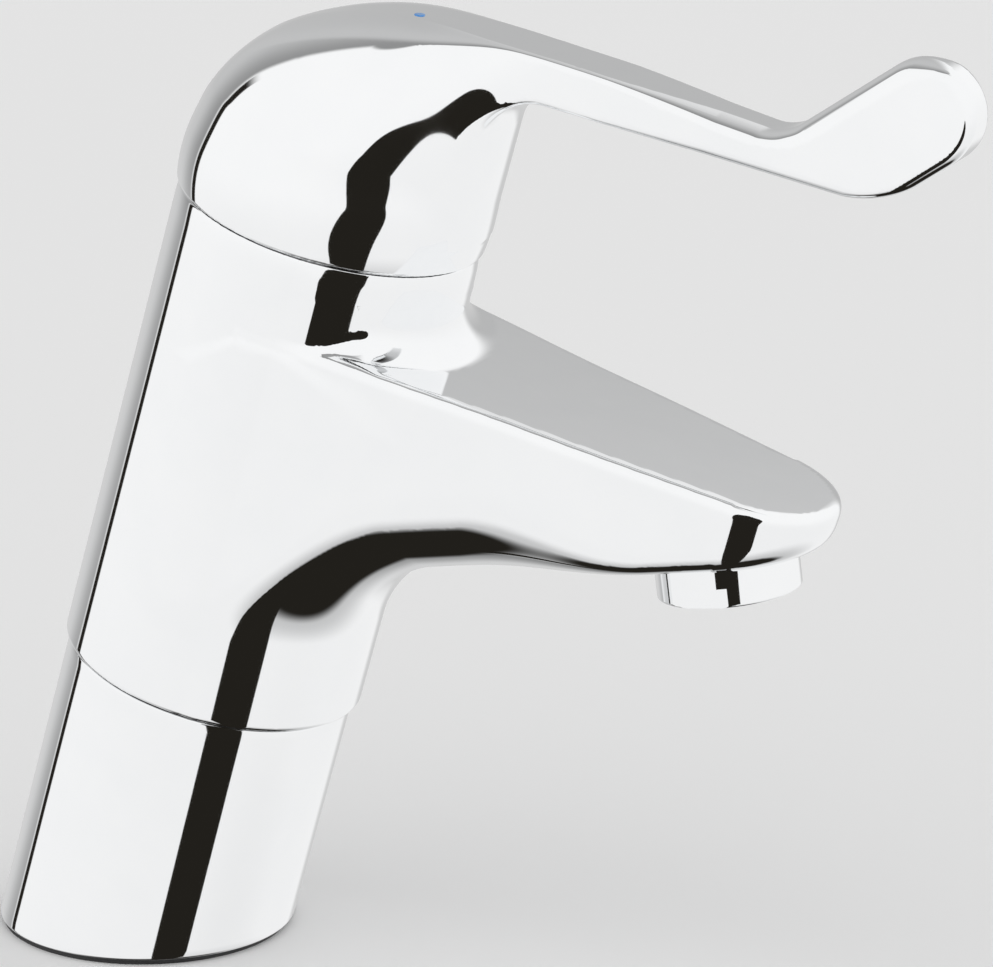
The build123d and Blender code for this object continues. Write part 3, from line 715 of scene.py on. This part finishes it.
def make_cover_cap():
    """Outline turned about the centre line: an arc outside, from foot to opening, and one inside, back."""
    def arc(radius, wide, narrow, count):
        angle = np.linspace(math.asin(wide / radius), math.asin(narrow / radius), count)
        return np.stack([radius * np.sin(angle), pivot_height + radius * np.cos(angle)], -1)

    inner_foot_radius = cap_foot_radius - cap_wall
    lowest = cap_radius * math.sin(math.acos((cap_foot - pivot_height) / cap_radius))
    outside = arc(cap_radius, min(lowest, cap_foot_radius), cap_opening_radius, cap_outside_rows)
    inside = arc(cap_radius - cap_wall, cap_opening_radius, inner_foot_radius, cap_inside_rows)
    foot = np.array([[inner_foot_radius, cap_foot], [cap_foot_radius, cap_foot]])
    radius, height = np.concatenate([outside, inside, foot]).T
    angle = round_angles(cap_turns)
    points = leaned(radius * np.cos(angle), radius * np.sin(angle), height + 0 * angle)
    turned_piece("cap_shell", points, "root", chrome, "cover_cap")


make_cover_cap()


# Lever handle
# A domed handle drawn forward and up into a flat arm, with a raised paddle for the elbow.
# It is one zinc casting, polished and chromed, hollow over the cartridge.
lift_joint = next(joint for joint in frame["joints"] if joint["name"] == "lever_lift")
full_lift = math.radians(lift_joint["range_deg"][1])
handle_centre = 0.1488
handle_radius = 0.02826
handle_foot = 0.1439
handle_wall = 0.0026
socket_radius = 0.0279
rim_rounding = 0.0006
rim_clearance = 0.00012
least_area = 1e-8
least_ridge = 0.001
back_shares = ((-0.0283, 1.15), (-0.0230, 1.12), (-0.0177, 1.104), (-0.0126, 1.104), (-0.0047, 1.143),
               (0.0, 1.198))
crest_turn = (-0.0140, -0.0040)
crest_places = ((-0.0177, 0.0243), (-0.0126, 0.0279), (-0.0047, 0.0319), (0.0010, 0.03403), (0.0066, 0.03552),
                (0.0186, 0.0371), (0.0311, 0.0381), (0.0544, 0.0395), (0.0800, 0.0404))
width_places = ((-0.0120, 0.02563), (-0.0060, 0.02766), (0.0, 0.02826), (0.0060, 0.02748), (0.0120, 0.0249),
                (0.0180, 0.0200), (0.0241, 0.0137), (0.0289, 0.0097), (0.0350, 0.0079), (0.0420, 0.0074),
                (0.0600, 0.0072), (0.0800, 0.0071), (0.1090, 0.0071))
flat_places = ((-0.0283, 0.0003), (-0.0260, 0.0030), (-0.0200, 0.0068), (-0.0110, 0.0092), (0.0020, 0.0096),
               (0.0140, 0.0086), (0.0280, 0.0071), (0.0450, 0.0068), (0.0650, 0.0066), (0.0850, 0.0062),
               (0.1090, 0.0058))
crest_probe = 0.0005
width_probe = 0.0002
neck_front = 0.02825
arm_under = ((0.0497, 0.0312), (0.0913, 0.0345))
arm_middle = 0.0365
throat_rounding = 0.0075
elbow_start = 0.06
elbow_end = 0.0860
elbow_rounding = 0.0026
paddle_angle = math.radians(50.5)
paddle_centre = (0.09893, 0.05205)
paddle_radius = 0.00952
paddle_middle = 0.004
heel_rounding = 0.0055
top_edge = 0.0005
crown_edge = 0.0028
crown_blend = 0.0008
arm_edge = 0.0011
paddle_edge = 0.0019
paddle_top_edge = 0.0040
arm_edge_turn = (0.004, 0.032)
paddle_edge_start = 0.045
paddle_edge_length = 0.02
upper_edge_turn = (-0.001, 0.004)
boss_radius = 0.0083
handle_grid = 0.00058
handle_fine_grid = 0.00028
handle_length = (-0.030, 0.111)
handle_width = (-0.030, 0.030)
handle_heights = (-0.0060, -0.0032, 0.063)


def joined(a, b, ease):
    """Two solids that meet at a shallow angle: the nearer distance, eased where both are alike."""
    return np.minimum(a, b) - np.maximum(ease - np.abs(a - b), 0.0) ** 2 / (4 * ease)


def smooth_line(places, x):
    """Natural cubic spline through places: its curvature changes evenly between them and ends at nothing."""
    along, height = np.array(places).T
    gap = np.diff(along)
    chord = np.diff(height) / gap
    count = len(along)
    matrix = np.eye(count)
    for row in range(1, count - 1):
        matrix[row, row - 1:row + 2] = gap[row - 1], 2 * (gap[row - 1] + gap[row]), gap[row]
    bend = np.linalg.solve(matrix, np.concatenate([[0.0], 6 * np.diff(chord), [0.0]]))
    index = np.clip(np.searchsorted(along, x) - 1, 0, count - 2)
    on = np.clip(x, along[0], along[-1])
    after, before = along[index + 1] - on, on - along[index]
    wide = gap[index]
    return ((bend[index] * after ** 3 + bend[index + 1] * before ** 3) / (6 * wide)
            + (height[index] / wide - bend[index] * wide / 6) * after
            + (height[index + 1] / wide - bend[index + 1] * wide / 6) * before)


def ball_height(x):
    """Half height of the dome's ball over x: the root of its radius squared less x squared."""
    return np.sqrt(np.maximum(handle_radius ** 2 - x ** 2, least_area))


def crest_height(x):
    """Height of the ridge: a share of the ball's own height over the back, which turns into its places."""
    share = eased(x, *crest_turn)
    return smooth_line(back_shares, x) * ball_height(x) * (1.0 - share) + smooth_line(crest_places, x) * share


def half_width(x, z, ridge):
    """Half width of the upper part, an ellipse cut flat at the ridge:
    width * sqrt(1 - (z / ridge) ** 2 * (1 - (flat / width) ** 2))."""
    wide = np.where(x < width_places[1][0], ball_height(x), smooth_line(width_places, x))
    flat = smooth_line(flat_places, x)
    part = np.clip(z, 0.0, None) / np.maximum(ridge, least_ridge)
    return wide * np.sqrt(np.maximum(1.0 - part ** 2 * (1.0 - (flat / wide) ** 2), 0.0))


def lever_field(x, y, z):
    """Neck, arm and paddle: their outline from the side, carried across to the half width. The edge between
    the two is wide on the crown, narrow on the arm and wider again on the paddle."""
    crest = crest_height(x)
    climb = (crest_height(x + crest_probe) - crest_height(x - crest_probe)) / (2 * crest_probe)
    turn_x = (half_width(x + width_probe, z, crest + width_probe * climb)
              - half_width(x - width_probe, z, crest - width_probe * climb)) / (2 * width_probe)
    turn_z = (half_width(x, z + width_probe, crest)
              - half_width(x, z - width_probe, crest)) / (2 * width_probe)
    flank = (np.abs(y) - half_width(x, z, crest)) / np.sqrt(1.0 + turn_x ** 2 + turn_z ** 2)
    # From the side: neck, arm and paddle
    under_slope = (arm_under[1][1] - arm_under[0][1]) / (arm_under[1][0] - arm_under[0][0])
    under = (arm_under[0][1] + (x - arm_under[0][0]) * under_slope - z) / math.hypot(1.0, under_slope)
    neck = either(np.hypot(x, y) - neck_front, under, throat_rounding)
    roof = (z - crest) / np.hypot(1.0, climb)
    out, up = x - paddle_centre[0], z - paddle_centre[1]
    along = out * math.cos(paddle_angle) + up * math.sin(paddle_angle)
    across = -out * math.sin(paddle_angle) + up * math.cos(paddle_angle)
    paddle = np.hypot(np.maximum(along, 0.0), across) - paddle_radius
    top = np.where(x > elbow_start, either(np.maximum(roof, x - elbow_end), paddle, elbow_rounding), roof)
    view = np.maximum(both(top, neck, top_edge), both(-across - paddle_radius, neck, heel_rounding))
    out_share = np.clip((x - paddle_edge_start) / paddle_edge_length, 0.0, 1.0)
    upper = eased(np.minimum(z - arm_middle, across - paddle_middle), *upper_edge_turn)
    edge = crown_edge + (arm_edge - crown_edge) * eased(x, *arm_edge_turn) \
        + (paddle_edge - arm_edge + (paddle_top_edge - paddle_edge) * upper) * out_share
    return np.maximum(both(view, flank, edge), -z)


def handle_field(x, y, z):
    """Distance to the handle's skin, from the dome's centre, negative in the metal."""
    dome = np.sqrt(x * x + y * y + z * z) - handle_radius
    dome = both(dome, handle_foot - handle_centre - z, rim_rounding)
    solid = joined(dome, lever_field(x, y, z), crown_blend)
    # Socket over the cover cap. Fully lifted, the rim's back comes down beside the barrel and clears it
    low = z + handle_centre - pivot_height
    socket = np.sqrt(x * x + y * y + low * low) - socket_radius
    lifted_x = x * math.cos(full_lift) - low * math.sin(full_lift)
    lifted_z = x * math.sin(full_lift) + low * math.cos(full_lift)
    relieved = np.maximum(np.hypot(lifted_x, y) - barrel_radius - rim_clearance, lifted_z)
    # Hollow with a boss round the stem, which leans forward by half of the lift at rest
    stem_x = x * math.cos(full_lift / 2) - low * math.sin(full_lift / 2)
    hollow = np.sqrt(x * x + y * y + z * z) - (handle_radius - handle_wall)
    hollow = np.maximum(hollow, boss_radius - np.hypot(stem_x, y))
    return np.maximum(solid, -np.minimum(np.minimum(socket, relieved), hollow))


def make_handle():
    """The handle's skin, on a grid that is finer at the rim."""
    foot, low, top = handle_heights
    lines = (spaced((*handle_length, handle_grid)), spaced((*handle_width, handle_grid)),
             spaced((foot, low, handle_fine_grid), (low, top, handle_grid)))
    field_piece("handle_shell", handle_field, lines, handle_grid, handle_centre, "handle", chrome,
                "lever_handle")


make_handle()


# Cold mark
# A small raised lens of blue enamel on the crown, towards the user's left. It follows the
# handle's own surface, so it stands the same height all round.
mark_x = 0.0076
mark_y = -0.0024
mark_radius = 0.00095
mark_rise = 0.00018
mark_sunk = 0.0004
mark_rounding = 0.00014
mark_grid = 0.00009
mark_reach = 0.0013
mark_heights = (0.0320, 0.0375)
enamel_tones = ((0.040, 0.22, 0.60), (0.065, 0.31, 0.72))


def mark_field(x, y, z):
    """Distance to the lens: a round bar between the handle's surface raised a little and sunk a little."""
    skin = handle_field(x, y, z)
    wide = np.hypot(x - mark_x, y - mark_y) - mark_radius
    return np.maximum(both(skin - mark_rise, wide, mark_rounding), -mark_sunk - skin)


def blue_enamel():
    """Glossy blue enamel, a little deeper in soft patches."""
    material, start = empty_finish("blue enamel")
    cloud = grain(start, 1500.0)
    close_finish(start, Base_Color=tinted(start, cloud, enamel_tones), Roughness=0.12 + 0.08 * cloud,
                 Coat_Weight=0.5 + 0.2 * cloud)
    return material


def make_cold_mark():
    """The lens's skin, on a fine grid round its place."""
    lines = (spaced((mark_x - mark_reach, mark_x + mark_reach, mark_grid)),
             spaced((mark_y - mark_reach, mark_y + mark_reach, mark_grid)),
             spaced((*mark_heights, mark_grid)))
    field_piece("cold_mark_lens", mark_field, lines, mark_grid, handle_centre, "handle",
                blue_enamel(), "cold_mark")


make_cold_mark()


# Handle plug
# A small round cover over the grub screw's hole in the front of the neck. It is chromed
# like the handle and is pressed in.
dress("handle_plug", chrome)


# Handle grub screw
# A short hexagon socket screw that clamps the handle on its stem. It is turned from steel
# and blackened.
blackened_tones = ((0.020, 0.020, 0.022), (0.055, 0.053, 0.052))


def black_steel():
    """Blackened steel: an uneven oxide with a slight oily sheen."""
    material, start = empty_finish("blackened steel")
    cloud = grain(start, 700.0)
    fine = grain(start, 5200.0, 2.0)
    close_finish(start, Base_Color=tinted(start, cloud, blackened_tones), Metallic=0.8,
                 Roughness=0.34 + 0.14 * fine, Normal=relief(start, fine, 0.2, 0.00004))
    return material


dress("handle_grub_screw", black_steel())


# Lever stem
# A square stem with a thin arm below its pin and a ball at the arm's end, which pushes the
# disc carrier. It is machined from brass.
brass_tones = ((0.60, 0.42, 0.17), (0.74, 0.55, 0.27))


def yellow_brass():
    """Machined brass: warm metal with faint tool lines round the upright axis and dull patches."""
    material, start = empty_finish("yellow brass")
    cloud = grain(start, 220.0)
    lines = grain(start, 900.0, 3.0, (0.25, 0.25, 6.0))
    close_finish(start, Base_Color=tinted(start, cloud, brass_tones), Metallic=1.0,
                 Roughness=0.22 + 0.12 * cloud + 0.08 * lines, Normal=relief(start, lines, 0.12, 0.00004))
    return material


brass = yellow_brass()
dress("lever_stem", brass)


# Stem pin
# The pin that the stem tilts on, across the rotor. It is hardened steel, ground bright.
steel_tones = ((0.52, 0.53, 0.55), (0.66, 0.67, 0.68))


def bright_steel():
    """Bright steel: a cool grey metal with fine grinding marks in one direction."""
    material, start = empty_finish("bright steel")
    cloud = grain(start, 350.0)
    marks = grain(start, 2600.0, 4.0, (0.15, 1.0, 1.0))
    close_finish(start, Base_Color=tinted(start, cloud, steel_tones), Metallic=1.0,
                 Roughness=0.18 + 0.14 * marks, Normal=relief(start, marks, 0.1, 0.00003))
    return material


steel = bright_steel()
dress("stem_pin", steel)


# Cartridge rotor
# The part that turns in the cartridge's lid, with a slot for the stem and room for the disc
# carrier. It is moulded in warm grey acetal.
rotor_tones = ((0.25, 0.245, 0.235), (0.33, 0.325, 0.315))


def moulded(name, tones, rough):
    """Moulded plastic: soft flow clouds in its colour, and a fine eroded grain from the mould."""
    material, start = empty_finish(name)
    cloud = grain(start, 150.0, 2.0, (1.0, 1.0, 0.5))
    fine = grain(start, 4200.0, 2.0)
    close_finish(start, Base_Color=tinted(start, cloud, tones), Roughness=rough + 0.14 * fine,
                 Normal=relief(start, fine, 0.15, 0.00005))
    return material


dress("cartridge_rotor", moulded("warm grey acetal", rotor_tones, 0.34))


# Rotor glide ring
# A thin ring that the rotor slides on under the lid. It is moulded in white plastic.
glide_tones = ((0.72, 0.72, 0.70), (0.82, 0.82, 0.80))
dress("rotor_glide_ring", moulded("white slide plastic", glide_tones, 0.42))


# Disc carrier
# The carrier of the upper disc, with the socket that the stem's ball pushes. It is moulded
# in a darker grey acetal than the rotor.
carrier_tones = ((0.060, 0.062, 0.066), (0.095, 0.097, 0.102))
dress("disc_carrier", moulded("dark grey acetal", carrier_tones, 0.36))


# Moving disc
# The upper of two ceramic discs, with the mixing pocket in its underside. It is pressed,
# fired and lapped flat.
ceramic_tones = ((0.80, 0.79, 0.76), (0.66, 0.65, 0.62))


def lapped_ceramic():
    """Lapped alumina: a hard off-white with faint specks, and a low even gloss."""
    material, start = empty_finish("lapped ceramic")
    cloud = grain(start, 240.0)
    speck = grain(start, 5200.0, 1.0).step(0.66, 0.74)
    close_finish(start, Base_Color=tinted(start, speck * 0.4 + cloud * 0.5, ceramic_tones),
                 Roughness=0.16 + 0.10 * cloud, Coat_Weight=0.15 + 0.1 * cloud)
    return material


ceramic = lapped_ceramic()
dress("moving_disc", ceramic)


# Fixed disc
# The lower ceramic disc, held in the cartridge's base, with an opening for each water way.
# It is lapped like the upper one.
dress("fixed_disc", ceramic)


# Cartridge housing
# The sleeve and lid that hold the cartridge together. It is moulded in off-white acetal.
housing_tones = ((0.62, 0.61, 0.57), (0.72, 0.71, 0.67))
dress("cartridge_housing", moulded("off-white acetal", housing_tones, 0.33))


# Limiter ring
# The notched ring for the hottest turn, on the cartridge's lid round the rotor's neck. It is
# moulded in red acetal, a plain ring here, without a stop face.
limiter_tones = ((0.36, 0.020, 0.016), (0.50, 0.035, 0.026))
dress("limiter_ring", moulded("red acetal", limiter_tones, 0.32))


# Retaining nut
# The slotted nut that holds the cartridge down in the body. It is turned from brass, and
# its slots are for a pin wrench.
dress("retaining_nut", brass)


# Cartridge base
# The base with three ports that carries the lower disc. It is moulded in light grey acetal.
base_tones = ((0.44, 0.445, 0.45), (0.53, 0.535, 0.54))
dress("cartridge_base", moulded("light grey acetal", base_tones, 0.36))


# Port seals
# Three seals under the cartridge's base, one round each port, moulded in black rubber.
dress("port_seals", rubber)


# Cartridge ring
# A black rubber ring round the cartridge's base, which seals it in the casting.
dress("cartridge_o_ring", rubber)


# Pedestal gasket
# A thin black rubber ring in the joint between the pedestal and the body.
dress("pedestal_gasket", rubber)


# Pedestal screws
# Two hexagon socket screws of bright steel through the pedestal's web into the body.
dress("pedestal_screws", steel)


# Aerator housing
# The housing that screws up into the spout's nose, with two flats for a spanner. It is
# turned from brass and chromed.
dress("aerator_housing", chrome)


# Aerator insert
# The grid in the housing's mouth that breaks up the stream, moulded in pale acetal.
insert_tones = ((0.55, 0.56, 0.57), (0.66, 0.67, 0.68))
dress("aerator_insert", moulded("pale acetal", insert_tones, 0.30))


# Aerator screen
# The round screen of bright steel above the insert.
dress("aerator_screen", steel)


# Aerator gasket
# The black rubber washer between the housing and its seat in the nose.
dress("aerator_gasket", rubber)
